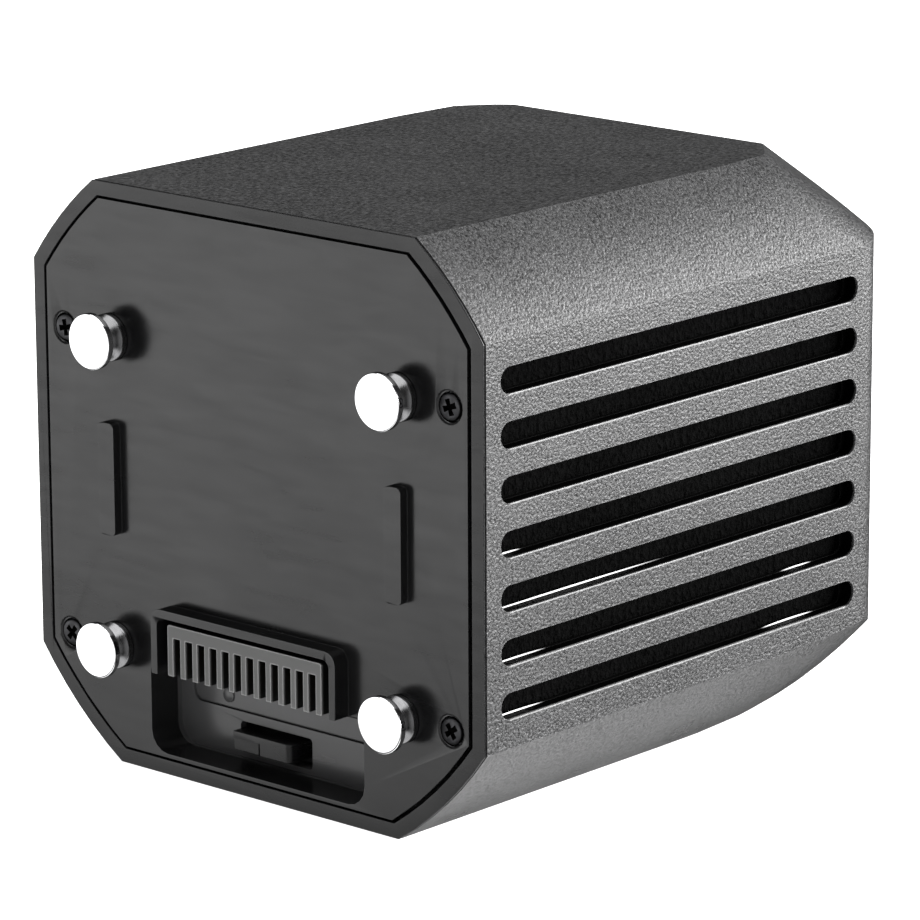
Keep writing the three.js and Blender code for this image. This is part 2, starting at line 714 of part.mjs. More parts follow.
function inletBody() {
  const n = INLET;
  const flange = roundedRect(n.x - n.flangeX, n.x + n.flangeX, n.z - n.flangeZ, n.z + n.flangeZ, 3);
  const back = DEPTH + GAP + FLANGE_THICK;
  let body = prismY(flange, DEPTH + GAP, back, 3);
  body = body.add(box(n.x - n.bodyX, n.x + n.bodyX, n.front, back - 0.5, n.z - n.bodyZ, n.z + n.bodyZ));
  const well = polygon([
    [n.x - 12, n.z - 8],
    [n.x + 12, n.z - 8],
    [n.x + 12, n.z + 4],
    [n.x + 8, n.z + 8],
    [n.x - 8, n.z + 8],
    [n.x - 12, n.z + 4],
  ]);
  body = body.subtract(prismY(well, n.front + 6, back + 1));
  for (const [, x, z] of inletPins()) {
    body = body.subtract(box(x - 1.3, x + 1.3, n.front - 1, n.front + 7, z - 2.3, z + 2.3));
  }
  const sink = [[0, DEPTH - 1], [1.7, DEPTH - 1], [1.7, back - 1.2], [2.8, back + 0.2], [0, back + 0.2]];
  for (const side of [-1, 1]) {
    body = body.subtract(turnedY(sink, n.x + side * n.screw, n.z, 14));
  }
  return body;
}

function inletPins() {
  return [
    ['line', INLET.x + 7, INLET.z - 2],
    ['neutral', INLET.x - 7, INLET.z - 2],
    ['earth', INLET.x, INLET.z + 2],
  ];
}

function inletPin(x, z) {
  const shank = box(x - 1, x + 1, INLET.front - 4, DEPTH - 3, z - 2, z + 2);
  return shank.add(box(x - 0.7, x + 0.7, DEPTH - 3.5, DEPTH - 1.6, z - 1.6, z + 1.6));
}

function inletScrew(x, z) {
  const face = DEPTH + GAP + FLANGE_THICK;
  const body = turnedY([
    [0, DEPTH - 8],
    [1.4, DEPTH - 8],
    [1.4, face - 1.3],
    [2.35, face - 0.35],
    [2.35, face - 0.1],
    [0, face - 0.1],
  ], x, z, 12);
  return body.subtract(crossRecess(0, 0, 0.8, 0.9).translate([x, face, z]));
}

function switchFrame() {
  const s = SWITCH;
  const back = DEPTH + GAP + FLANGE_THICK;
  const flange = roundedRect(s.x - s.flangeX, s.x + s.flangeX, s.z - s.flangeZ, s.z + s.flangeZ, 1.2);
  let body = prismY(flange, DEPTH + GAP, back, 2);
  body = body.add(box(s.x - s.bodyX, s.x + s.bodyX, s.front, back - 0.5, s.z - s.bodyZ, s.z + s.bodyZ));
  const well = [s.front + 2, back + 1, s.z - s.openZ, s.z + s.openZ];
  body = body.subtract(box(s.x - s.openX, s.x + s.openX, ...well));
  return body.subtract(rodX(1.1, s.x - s.bodyX + 0.4, s.x + s.bodyX - 0.4, ROCKER_PIVOT, s.z, 14));
}

function switchRocker() {
  const s = SWITCH;
  const profile = polygon([
    [-6.5, -2.2],
    [-6.5, 2.2],
    [-1.5, 7.7],
    [3.3, 7.7],
    [2.9, 4],
    [2.1, 0],
    [2.9, -4],
    [3.3, -7.7],
    [-1.5, -7.7],
  ].reverse());
  const half = s.openX - 0.4;
  let body = prismX(profile, -half, half, 2);
  body = body.add(rodX(0.8, -s.bodyX + 0.75, s.bodyX - 0.75, 0, 0, 14));
  return body.rotate([ROCKER_TILT, 0, 0]).translate([s.x, ROCKER_PIVOT, s.z]);
}

function statusLens() {
  return turnedY([
    [0, DEPTH - 4.4],
    [3.5, DEPTH - 4.4],
    [3.5, DEPTH - WALL - GAP],
    [LENS.radius, DEPTH - WALL - GAP],
    [LENS.radius, DEPTH + 0.4],
    [LENS.radius * 0.8, DEPTH + 1.0],
    [LENS.radius * 0.4, DEPTH + 1.3],
    [0, DEPTH + 1.4],
  ], LENS.x, LENS.z, 14);
}

// ---------------------------------------------------------------- power supply

function boardCarrier() {
  let body = box(-31, 31, BOARD.y0, BOARD.y1, CARRIER_BOTTOM, CARRIER_BOTTOM + 1.2);
  for (const x of [-27.5, 27.5]) {
    for (const y of [33, 93]) {
      body = body.add(rodZ(3, CARRIER_BOTTOM + 0.5, BOARD.bottom - GAP, x, y, 14));
    }
  }
  return body;
}

function transformerCore() {
  const outer = polygon([[-34, STAND], [2, STAND], [2, -9], [-34, -9]]);
  let body = prismY(outer, 43, 55);
  for (const [x0, x1] of [[-28.5, -21], [-11, -3.5]]) {
    body = body.subtract(box(x0, x1, 40, 58, STAND + 5, -14));
  }
  return body;
}

function transformerWinding() {
  const outer = roundedRect(-28.2, -3.8, 37, 61, 5);
  const body = prismZ(outer, STAND + 5.4, -14.4, 3);
  return body.subtract(box(-21.4, -10.6, 42.6, 55.4, -60, 0));
}

function capacitor(x, y, radius, top) {
  const geometry = new THREE.LatheGeometry([
    [0, STAND],
    [radius - 0.6, STAND],
    [radius, STAND + 0.8],
    [radius, STAND + 2.6],
    [radius - 0.5, STAND + 3.2],
    [radius, STAND + 3.8],
    [radius, top - 0.8],
    [radius - 0.8, top],
    [0, top],
  ].map(([r, z]) => new THREE.Vector2(r, z)), 16);
  geometry.rotateX(Math.PI / 2);
  geometry.translate(x, y, 0);
  return solid(geometry);
}

function heatSink(side) {
  const span = (a, b) => [side * a, side * b].sort((p, q) => p - q);
  const [b0, b1] = span(37.8, 39.4);
  let body = box(b0, b1, 30, 76, STAND, 2);
  for (let i = 0; i < 5; i += 1) {
    const z = -32 + i * 8;
    const [f0, f1] = span(39, 45);
    body = body.add(box(f0, f1, 30, 76, z - 0.7, z + 0.7));
  }
  return body;
}

function lineChoke() {
  const ring = new THREE.TorusGeometry(8.6, 3.9, 8, 20);
  ring.translate(-20, 86.5, STAND + 4.1);
  return solid(ring);
}

// ---------------------------------------------------------------- assembly

const pieces = [];

function piece(name, body, finish) {
  pieces.push([name, body, finish]);
}

piece('housing_shell', housingShell(), BODY_PLASTIC);
piece('bezel_frame', bezelFrame(), FACE_PLASTIC);
piece('mating_plate', matingPlate(), FACE_PLASTIC);
for (const [place, x, z] of patternPoints(STUD_X)) {
  piece(`mount_stud_${place}`, mountStud(x, z), CHROME);
  piece(`stud_nut_${place}`, studNut(x, z), ZINC);
}
const screwTurns = { top_left: 0.2, top_right: 0.35, bottom_left: 0.9, bottom_right: 0.6 };
for (const [place, x, z] of patternPoints(SCREW_X)) {
  piece(`plate_screw_${place}`, plateScrew(x, z, screwTurns[place]), BLACK_STEEL);
}
piece('connector_block', connectorBlock(), COMB_PLASTIC);
piece('contact_bus_positive', contactBus(0, 4), BRASS);
piece('signal_contacts', contactBus(5, 6), BRASS);
piece('contact_bus_negative', contactBus(7, 11), BRASS);
piece('connector_board', connectorBoard(), BOARD_GREEN);
piece('latch_tab', latchTab(), FACE_PLASTIC);
piece('latch_spring', latchSpring(), ZINC);
piece('latch_guide', latchGuide(), DARK_PLASTIC);
for (const [word, side] of [['left', -1], ['right', 1]]) {
  piece(`vent_liner_${word}`, ventLiner(side), DARK_PLASTIC);
  piece(`dust_screen_${word}`, sidePanel(side, SCREEN_X), SCREEN_FOAM);
  piece(`heat_sink_${word}`, heatSink(side), ALUMINIUM);
}
piece('fan_frame', fanFrame(), DARK_PLASTIC);
piece('fan_rotor', fanRotor(), DARK_PLASTIC);
for (const [index, x, z] of fanHoles()) {
  piece(`fan_screw_${index}`, fanScrew(x, z), BLACK_STEEL);
}
piece('inlet_body', inletBody(), DARK_PLASTIC);
for (const [name, x, z] of inletPins()) {
  piece(`inlet_pin_${name}`, inletPin(x, z), BRASS);
}
piece('inlet_screw_left', inletScrew(INLET.x - INLET.screw, INLET.z), BLACK_STEEL);
piece('inlet_screw_right', inletScrew(INLET.x + INLET.screw, INLET.z), BLACK_STEEL);
piece('switch_frame', switchFrame(), DARK_PLASTIC);
piece('switch_rocker', switchRocker(), DARK_PLASTIC);
piece('status_lens', statusLens(), LENS_GREEN);
piece('board_carrier', boardCarrier(), CARRIER_WHITE);
const boardSize = [BOARD.y0, BOARD.y1, BOARD.bottom, BOARD.top];
piece('main_board', box(-BOARD.halfWidth, BOARD.halfWidth, ...boardSize), BOARD_GREEN);
piece('transformer_core', transformerCore(), FERRITE);
piece('transformer_winding', transformerWinding(), COPPER_WIRE);
piece('bulk_capacitor_front', capacitor(24, 42.5, 12, -4), CAN_BLACK);
piece('bulk_capacitor_rear', capacitor(24, 68, 12, -4), CAN_BLACK);
piece('output_capacitor', capacitor(7, 36, 3.6, -24), CAN_BLACK);
piece('filter_capacitor', box(-34, -8, 65.5, 73, STAND, -26), FILM_BOX);
piece('line_choke', lineChoke(), COPPER_WIRE);
const outputRoute = [[14, 13.4, -27], [14, 16, -27], [14, 22, -29], [13, 27, -36], [12, 28.6, -42.4]];
piece('output_lead_positive', wire(outputRoute.map(([x, y, z]) => [-x, y, z]), 1.1), LEAD_RED);
piece('output_lead_negative', wire(outputRoute, 1.1), LEAD_BLACK);
const neutralRoute = [[5, 87.1, -32], [5, 86.2, -32], [5, 85.4, -34.5], [5, 85.3, -42.4]];
piece('mains_lead_neutral', wire(neutralRoute, 1.0), LEAD_BLUE);
const lineStart = [[19, 87.1, -32], [19, 86.3, -31.6], [20, 85.7, -28]];
const lineRoute = [...lineStart, [24, 86.3, -12], [27, 91.5, 1], [28, 99.8, 5]];
piece('mains_lead_line', wire(lineRoute, 1.0, 16), LEAD_BROWN);
const switchedRoute = [[33, 99.9, 5], [34, 94.5, 0], [36, 90.5, -12], [37, 88.5, -28], [37, 87.5, -42.4]];
piece('mains_lead_switched', wire(switchedRoute, 1.0, 14), LEAD_BROWN);
const fanRoute = [[-38, 102.5, -11.6], [-37.4, 102.3, -20], [-36.5, 100, -32], [-36, 98, -42.4]];
piece('fan_lead', wire(fanRoute, 0.8), LEAD_BLACK);

const bounds = new THREE.Box3();
const meshes = pieces.map(([name, body, [color, roughness, metalness]]) => {
  const geometry = surface(body);
  const mesh = new THREE.Mesh(geometry, new THREE.MeshStandardMaterial({ color, roughness, metalness }));
  mesh.name = name;
  geometry.computeBoundingBox();
  bounds.union(geometry.boundingBox);
  return mesh;
});

const part = new THREE.Group();
part.name = 'mains_power_adapter';
for (const mesh of meshes) {
  mesh.geometry.translate(0, -(bounds.min.y + bounds.max.y) / 2, HEIGHT / 2);
  mesh.geometry.computeVertexNormals();
  part.add(mesh);
}

export default part;
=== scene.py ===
import json
import math

import bmesh
import bpy
from mathutils import Matrix, Vector


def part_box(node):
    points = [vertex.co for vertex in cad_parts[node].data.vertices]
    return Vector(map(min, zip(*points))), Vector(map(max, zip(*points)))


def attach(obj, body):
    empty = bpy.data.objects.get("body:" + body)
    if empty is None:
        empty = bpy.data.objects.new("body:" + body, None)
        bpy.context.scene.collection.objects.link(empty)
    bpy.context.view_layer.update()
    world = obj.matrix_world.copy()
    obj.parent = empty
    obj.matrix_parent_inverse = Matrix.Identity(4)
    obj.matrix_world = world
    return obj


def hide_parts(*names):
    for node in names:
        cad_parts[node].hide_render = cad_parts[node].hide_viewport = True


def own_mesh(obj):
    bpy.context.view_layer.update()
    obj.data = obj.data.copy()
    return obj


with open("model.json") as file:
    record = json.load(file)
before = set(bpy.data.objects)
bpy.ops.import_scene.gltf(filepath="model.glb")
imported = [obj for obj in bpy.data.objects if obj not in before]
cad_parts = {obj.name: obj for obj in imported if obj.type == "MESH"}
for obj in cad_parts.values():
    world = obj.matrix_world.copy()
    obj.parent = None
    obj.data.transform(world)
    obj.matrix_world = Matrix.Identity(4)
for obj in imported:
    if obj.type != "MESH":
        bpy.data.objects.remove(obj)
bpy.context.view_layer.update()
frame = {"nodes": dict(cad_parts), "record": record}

# ---------------------------------------------------------------- frame

MM = 0.001
FACE_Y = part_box("bezel_frame")[0][1]
MID_Z = 0.055
HALF_WIDTH = 0.0555

# The seven slots in each side, in millimetres from the centre of the mating face.
VENT_TOP, VENT_PITCH, VENT_HEIGHT = 33.5, 9.79, 4.88
VENT_MIDDLE_Y, VENT_MIDDLE_Z = 54.8, 1.6
VENT_HALF_LENGTH, VENT_STRAIGHT_HALF, VENT_HALF_STACK = 50.3, 47.6, 34.5


def at(x, y, z):
    """A point given in millimetres from the centre of the mating face, +Y into the body."""
    return Vector((x * MM, FACE_Y + y * MM, MID_Z + z * MM))


# ---------------------------------------------------------------- shader nodes


def new_material(name):
    material = bpy.data.materials.new(name)
    material.use_nodes = True
    tree = material.node_tree
    tree.nodes.clear()
    output = tree.nodes.new("ShaderNodeOutputMaterial")
    shader = tree.nodes.new("ShaderNodeBsdfPrincipled")
    tree.links.new(shader.outputs["BSDF"], output.inputs["Surface"])
    return material, tree, shader


def coords(tree, stretch=(1, 1, 1)):
    """Places on the object, in metres, stretched along each axis."""
    texture = tree.nodes.new("ShaderNodeTexCoord")
    mapping = tree.nodes.new("ShaderNodeMapping")
    mapping.inputs["Scale"].default_value = stretch
    tree.links.new(texture.outputs["Object"], mapping.inputs["Vector"])
    return mapping.outputs["Vector"]


def noise(tree, vector, scale, detail=3.0, roughness=0.55, distortion=0.0):
    node = tree.nodes.new("ShaderNodeTexNoise")
    node.inputs["Scale"].default_value = scale
    node.inputs["Detail"].default_value = detail
    node.inputs["Roughness"].default_value = roughness
    node.inputs["Distortion"].default_value = distortion
    tree.links.new(vector, node.inputs["Vector"])
    return node.outputs["Fac"]


def remap(tree, value, low, high, to_low, to_high):
    node = tree.nodes.new("ShaderNodeMapRange")
    node.inputs["From Min"].default_value = low
    node.inputs["From Max"].default_value = high
    node.inputs["To Min"].default_value = to_low
    node.inputs["To Max"].default_value = to_high
    tree.links.new(value, node.inputs["Value"])
    return node.outputs["Result"]


def soft_step(tree, value, low, high, level=1.0):
    """A smooth rise from 0 at low to the level at high."""
    result = remap(tree, value, low, high, 0.0, level)
    result.node.interpolation_type = "SMOOTHSTEP"
    return result


def maths(tree, operation, a, b=0.0):
    node = tree.nodes.new("ShaderNodeMath")
    node.operation = operation
    for socket, value in ((node.inputs[0], a), (node.inputs[1], b)):
        if isinstance(value, (int, float)):
            socket.default_value = value
        else:
            tree.links.new(value, socket)
    return node.outputs["Value"]


def mix_colour(tree, factor, a, b, blend="MIX"):
    node = tree.nodes.new("ShaderNodeMix")
    node.data_type = "RGBA"
    node.blend_type = blend
    fraction, first, second = node.inputs[0], node.inputs[6], node.inputs[7]
    for socket, value in ((first, a), (second, b)):
        if isinstance(value, tuple):
            socket.default_value = (*value, 1.0)
        else:
            tree.links.new(value, socket)
    if isinstance(factor, float):
        fraction.default_value = factor
    else:
        tree.links.new(factor, fraction)
    return node.outputs[2]


def bump(tree, height, strength, distance):
    node = tree.nodes.new("ShaderNodeBump")
    node.inputs["Strength"].default_value = strength
    node.inputs["Distance"].default_value = distance
    tree.links.new(height, node.inputs["Height"])
    return node.outputs["Normal"]


def along(tree, direction, axis):
    """How far a direction runs along an axis."""
    dot = tree.nodes.new("ShaderNodeVectorMath")
    dot.operation = "DOT_PRODUCT"
    tree.links.new(direction, dot.inputs[0])
    dot.inputs[1].default_value = axis
    return dot.outputs["Value"]


def edge_wear_and_painted_highlight(tree, radius=0.0004):
    """1 on edges and 0 on flats, from how far a rounded normal turns from the surface's own."""
    rounded = tree.nodes.new("ShaderNodeBevel")
    rounded.samples = 4
    rounded.inputs["Radius"].default_value = radius
    geometry = tree.nodes.new("ShaderNodeNewGeometry")
    dot = tree.nodes.new("ShaderNodeVectorMath")
    dot.operation = "DOT_PRODUCT"
    tree.links.new(rounded.outputs["Normal"], dot.inputs[0])
    tree.links.new(geometry.outputs["Normal"], dot.inputs[1])
    return remap(tree, dot.outputs["Value"], 0.995, 0.93, 0.0, 1.0)


def axis_of(tree, vector, axis):
    axes = tree.nodes.new("ShaderNodeSeparateXYZ")
    tree.links.new(vector, axes.inputs["Vector"])
    return axes.outputs[axis]


def band(tree, value, middle, inner, outer):
    """1 within inner of the middle, 0 beyond outer."""
    distance = maths(tree, "ABSOLUTE", maths(tree, "SUBTRACT", value, middle))
    return remap(tree, distance, inner, outer, 1.0, 0.0)


def slot_shade_and_highlight_masks(tree):
    """(walls inside the side slots, painted near black as shade in place of the grain; lower
    edges of the slots, painted pale as a highlight).
    """
    place = coords(tree)
    y, z = axis_of(tree, place, "Y"), axis_of(tree, place, "Z")
    # Depth of the walls inside the slots, which are painted near black as shade.
    wall = (HALF_WIDTH - 0.6 * MM, HALF_WIDTH - 0.25 * MM)
    behind = band(tree, axis_of(tree, place, "X"), 0.0, *wall)
    middle = at(0, VENT_MIDDLE_Y, VENT_MIDDLE_Z)
    length, stack = VENT_HALF_LENGTH * MM, VENT_HALF_STACK * MM
    along_y = band(tree, y, middle.y, length, length + 0.3 * MM)
    along_z = band(tree, z, middle.z, stack, stack + 0.3 * MM)
    area = maths(tree, "MULTIPLY", along_y, along_z)
    # A pale line painted as a highlight along each slot's lower edge.
    below = maths(tree, "SUBTRACT", at(0, 0, VENT_TOP - VENT_HEIGHT).z, z)
    row = maths(tree, "FRACT", maths(tree, "DIVIDE", below, VENT_PITCH * MM))
    painted_highlight_line = remap(tree, row, 0.02, 0.032, 1.0, 0.0)
    straight_half = VENT_STRAIGHT_HALF * MM
    straight = band(tree, y, middle.y, straight_half, straight_half + 0.6 * MM)
    outer = maths(tree, "SUBTRACT", 1.0, behind)
    edge = maths(tree, "MULTIPLY", outer, painted_highlight_line)
    edge = maths(tree, "MULTIPLY", edge, maths(tree, "MULTIPLY", area, straight))
    return maths(tree, "MULTIPLY", behind, area), edge


def painted_shade_behind(tree, colour, depth, fade=0.3):
    """The colour, painted near black as shade deeper than a distance in millimetres from the
    mating face.
    """
    y = axis_of(tree, coords(tree), "Y")
    painted_shade = remap(tree, y, at(0, depth, 0).y, at(0, depth + fade, 0).y, 0.0, 1.0)
    return mix_colour(tree, painted_shade, colour, SHADE_BLACK)


def grey(level, blue=0.0):
    return (level, level, level + blue)


# ---------------------------------------------------------------- materials

# Colours that paint light and shade: near black for painted shade, the slot walls' painted
# shade, the slots' painted edge highlight and the recess floor's painted light.
SHADE_BLACK = grey(0.002)
SLOT_WALL_PAINTED_SHADE = grey(0.0006)
SLOT_EDGE_PAINTED_HIGHLIGHT = grey(0.22)
RECESS_FLOOR_PAINTED_LIGHT = grey(0.05, 0.001)


def grained_plastic(
    name, colour, worn, cell=0.00056, depth=0.000095,
    roughness=0.28, specular=0.5, contrast=0.5, slots=False,
):
    """Moulded leather grain in pebbles about one cell wide, with painted shade in its valleys
    and a painted highlight on its crowns.
    """
    material, tree, shader = new_material(name)
    vector = coords(tree)
    pebbles = noise(tree, vector, 1 / cell, 1.5, 0.6)
    fine = noise(tree, vector, 3.2 / cell, 2.0)
    height = maths(tree, "ADD", pebbles, maths(tree, "MULTIPLY", fine, 0.25))
    tree.links.new(bump(tree, height, 1.0, depth), shader.inputs["Normal"])
    patches = noise(tree, vector, 45, 4.0)
    # Painted shade in the grain's valleys and a painted highlight on its crowns.
    shaded_valley = tuple(c * (1 - contrast) for c in colour)
    lit_crown = tuple(c * (1 + contrast * 0.6) for c in colour)
    tone = mix_colour(tree, remap(tree, height, 0.4, 0.85, 0.0, 1.0), shaded_valley, lit_crown)
    rubbed = mix_colour(tree, remap(tree, patches, 0.45, 0.8, 0.0, 0.25), tone, worn)
    # Edges take the worn tone, partly wear and partly a painted edge highlight.
    surface = mix_colour(tree, edge_wear_and_painted_highlight(tree), rubbed, worn)
    swing = specular * contrast * 0.55
    shine = remap(tree, height, 0.42, 0.82, specular - swing, specular + swing)
    if slots:
        surface = flecks_and_painted_glints(tree, surface)
        # The slot walls are painted near black as shade, with their shine cut down, and the
        # slots' lower edges are painted pale as a highlight.
        wall, edge = slot_shade_and_highlight_masks(tree)
        surface = mix_colour(tree, wall, surface, SLOT_WALL_PAINTED_SHADE)
        surface = mix_colour(tree, edge, surface, SLOT_EDGE_PAINTED_HIGHLIGHT)
        shine = maths(tree, "MULTIPLY", shine, remap(tree, wall, 0.0, 1.0, 1.0, 0.08))
    tree.links.new(shine, shader.inputs["Specular IOR Level"])
    tree.links.new(surface, shader.inputs["Base Color"])
    gloss = remap(tree, patches, 0.2, 0.8, roughness - 0.04, roughness + 0.05)
    tree.links.new(gloss, shader.inputs["Roughness"])
    return material


def flecks_and_painted_glints(tree, surface):
    """Light and dark flecks where the grain faces straight up, partly the grain's own flecking
    and partly painted glints.
    """
    flecks = noise(tree, coords(tree, (1, 0.3, 1)), 2000, 1.0)
    speckle = remap(tree, flecks, 0.3, 0.7, 0.6, 1.4)
    normal = tree.nodes.new("ShaderNodeNewGeometry").outputs["Normal"]
    upward = remap(tree, axis_of(tree, normal, "Z"), 0.9, 0.97, 0.0, 1.0)
    flecked = mix_colour(tree, 1.0, surface, speckle, "MULTIPLY")
    return mix_colour(tree, upward, surface, flecked)


def satin_plastic(
    name, colour, worn, roughness=0.28, ior=1.5, painted_shade_beyond=None, painted_light_floor=None,
):
    """Smooth moulding with faint flow streaks and handling marks, edges paler partly from wear
    and partly as a painted highlight, and optionally painted shade deeper in and painted light
    on the recess floor.
    """
    material, tree, shader = new_material(name)
    vector = coords(tree)
    fine = noise(tree, vector, 2600, 2.0)
    flow = noise(tree, coords(tree, (1, 1, 6)), 60, 5.0, 0.6, 0.4)
    smudge = noise(tree, vector, 28, 4.0)
    shader.inputs["IOR"].default_value = ior
    level = remap(tree, flow, 0.3, 0.7, roughness - 0.03, roughness + 0.05)
    gloss = maths(tree, "ADD", level, remap(tree, smudge, 0.3, 0.7, -0.02, 0.03))
    tree.links.new(gloss, shader.inputs["Roughness"])
    tone = mix_colour(tree, remap(tree, smudge, 0.25, 0.75, 0.0, 0.4), colour, worn)
    # Edges paler, partly wear and partly a painted edge highlight.
    surface = mix_colour(tree, edge_wear_and_painted_highlight(tree), tone, tuple(c * 2.5 for c in worn))
    if painted_shade_beyond is not None:
        surface = painted_shade_behind(tree, surface, painted_shade_beyond)
    if painted_light_floor is not None:
        # A pool of light painted on the recess floor, paler than the plate around it.
        floor_y = at(0, painted_light_floor, 0).y
        floor_light_mask = band(tree, axis_of(tree, vector, "Y"), floor_y, 1.2 * MM, 1.4 * MM)
        surface = mix_colour(tree, floor_light_mask, surface, RECESS_FLOOR_PAINTED_LIGHT)
    tree.links.new(surface, shader.inputs["Base Color"])
    tree.links.new(bump(tree, fine, 0.2, 0.000003), shader.inputs["Normal"])
    return material


def metal(name, colour, tarnish, roughness, brushed=(1, 1, 1)):
    """Bare or plated metal with a fine grain and stains."""
    material, tree, shader = new_material(name)
    grain = noise(tree, coords(tree, brushed), 900, 3.0)
    stain = noise(tree, coords(tree), 160, 4.0)
    shader.inputs["Metallic"].default_value = 1.0
    gloss = remap(tree, grain, 0.2, 0.8, roughness * 0.7, roughness * 1.5)
    tree.links.new(gloss, shader.inputs["Roughness"])
    surface = mix_colour(tree, remap(tree, stain, 0.4, 0.75, 0.0, 0.6), colour, tarnish)
    tree.links.new(surface, shader.inputs["Base Color"])
    tree.links.new(bump(tree, grain, 0.08, 0.00001), shader.inputs["Normal"])
    return material


RIM_TONES = (grey(0.0035, 0.0002), grey(0.006, 0.0003))
GRAINED = {
    "body_plastic": dict(
        colour=grey(0.041, 0.0006), worn=grey(0.058, 0.001), contrast=0.85, slots=True,
    ),
    # The foam behind the slots is near black, black foam with painted shade inside the slots.
    "screen_foam": dict(
        colour=grey(0.0025), worn=grey(0.008), cell=0.0012, depth=0.0012,
        roughness=0.95, specular=0.01,
    ),
    "ferrite": dict(
        colour=grey(0.03, 0.002), worn=grey(0.06), cell=0.0006, depth=0.0001, roughness=0.6,
    ),
}
SATIN = {
    # The plate's recess floor, 8.2 mm deep, is painted paler as light.
    "face_plastic": dict(colour=RIM_TONES[0], worn=RIM_TONES[1], roughness=0.22, painted_light_floor=8.2),
    # The comb is painted near black as shade from 2.7 mm in front of the mating face inwards.
    "comb_plastic": dict(
        colour=grey(0.068, -0.001), worn=grey(0.1), roughness=0.45, painted_shade_beyond=-2.7,
    ),
    "dark_plastic": dict(colour=grey(0.008), worn=grey(0.016), roughness=0.35),
    "board_laminate": dict(colour=(0.01, 0.09, 0.035), worn=(0.03, 0.14, 0.06), roughness=0.35),
    "can_sleeve": dict(colour=(0.01, 0.014, 0.03), worn=(0.03, 0.035, 0.05), roughness=0.3),
    "film_box": dict(colour=(0.5, 0.3, 0.05), worn=(0.6, 0.42, 0.12), roughness=0.4),
    "carrier_plastic": dict(colour=(0.5, 0.5, 0.46), worn=(0.6, 0.6, 0.56), roughness=0.5),
    "lens_plastic": dict(colour=(0.04, 0.3, 0.08), worn=(0.08, 0.4, 0.14), roughness=0.12),
    "lead_brown": dict(colour=(0.1, 0.035, 0.012), worn=(0.14, 0.06, 0.03), roughness=0.45),
    "lead_blue": dict(colour=(0.01, 0.04, 0.2), worn=(0.03, 0.08, 0.28), roughness=0.45),
    "lead_red": dict(colour=(0.3, 0.015, 0.012), worn=(0.4, 0.04, 0.03), roughness=0.45),
    "lead_black": dict(colour=grey(0.008), worn=grey(0.02), roughness=0.45),
}
METALS = {
    "stud_chrome": (grey(0.92, 0.01), grey(0.8, 0.01), 0.06),
    "black_steel": (grey(0.09, 0.005), grey(0.05), 0.35),
    "zinc": ((0.6, 0.61, 0.64), (0.42, 0.42, 0.4), 0.3),
    "brass": ((0.72, 0.53, 0.27), (0.5, 0.33, 0.16), 0.28),
    "aluminium": ((0.66, 0.67, 0.69), (0.5, 0.5, 0.51), 0.35, (1, 12, 1)),
    "copper_winding": ((0.55, 0.22, 0.09), (0.35, 0.13, 0.06), 0.32, (1, 1, 30)),
}
MATERIALS = {name: grained_plastic(name, **values) for name, values in GRAINED.items()}
MATERIALS.update({name: satin_plastic(name, **values) for name, values in SATIN.items()})
MATERIALS.update({name: metal(name, *values) for name, values in METALS.items()})

RIM_PLASTIC = satin_plastic("rim_plastic", *RIM_TONES, 0.24, 1.44)
# The liner and the screw wells are painted near black as shade.
LINER_PAINTED_SHADE = satin_plastic("liner_painted_shade", grey(0.001), grey(0.002), 0.7, 1.1)
LIP_PLASTIC = satin_plastic("lip_plastic", grey(0.002), grey(0.004), 0.2, 1.9)
SCREW_WELL_PAINTED_SHADE = satin_plastic("screw_well_painted_shade", grey(0.0006), grey(0.001), 0.7, 1.1)
TURNED_STEEL = metal("turned_steel", grey(0.2, 0.005), grey(0.1), 0.24, (1, 10, 1))
SCREW_BLACK = metal("screw_black", grey(0.07, 0.004), grey(0.03), 0.34)


def paint(obj, slot, *materials):
    """Gives a piece its slot's material, or other materials in its place."""
    if obj.data.materials:
        obj.data.materials.clear()
    for material in materials or (MATERIALS[slot],):
        obj.data.materials.append(material)
    return obj


# ---------------------------------------------------------------- pieces kept from the frame

SLOT_OF = {s["node"]: s["material_slot"] for s in frame["record"]["subparts"]}
RIM_PIECES = ("bezel_frame", "latch_tab")
EDGE_ROUND = {
    "housing_shell": 0.35,
    "bezel_frame": 0.3,
    "mating_plate": 0.25,
    "connector_block": 0.12,
    "latch_tab": 0.2,
}
USUAL_ROUND = 0.1
USUAL_EDGE_ANGLE, SHELL_EDGE_ANGLE = 35, 20


def finish_node(name, obj):
    """Welds the imported corners, rounds the edges a little and shades by angle."""
    if name in RIM_PIECES:
        paint(obj, SLOT_OF[name], RIM_PLASTIC)
    else:
        paint(obj, SLOT_OF[name])
    weld = obj.modifiers.new("weld", "WELD")
    weld.merge_threshold = 0.000002
    angle = SHELL_EDGE_ANGLE if name == "housing_shell" else USUAL_EDGE_ANGLE
    rounding = obj.modifiers.new("edge", "BEVEL")
    rounding.width = EDGE_ROUND.get(name, USUAL_ROUND) * MM
    rounding.segments = 2
    rounding.limit_method = "ANGLE"
    rounding.angle_limit = math.radians(angle)
    rounding.harden_normals = False
    rounding.use_clamp_overlap = True
    smooth = obj.modifiers.new("smooth", "WEIGHTED_NORMAL")
    smooth.keep_sharp = False
    for polygon in obj.data.polygons:
        polygon.use_smooth = True


for node_name, node in frame["nodes"].items():
    finish_node(node_name, node)

# ---------------------------------------------------------------- pieces built here


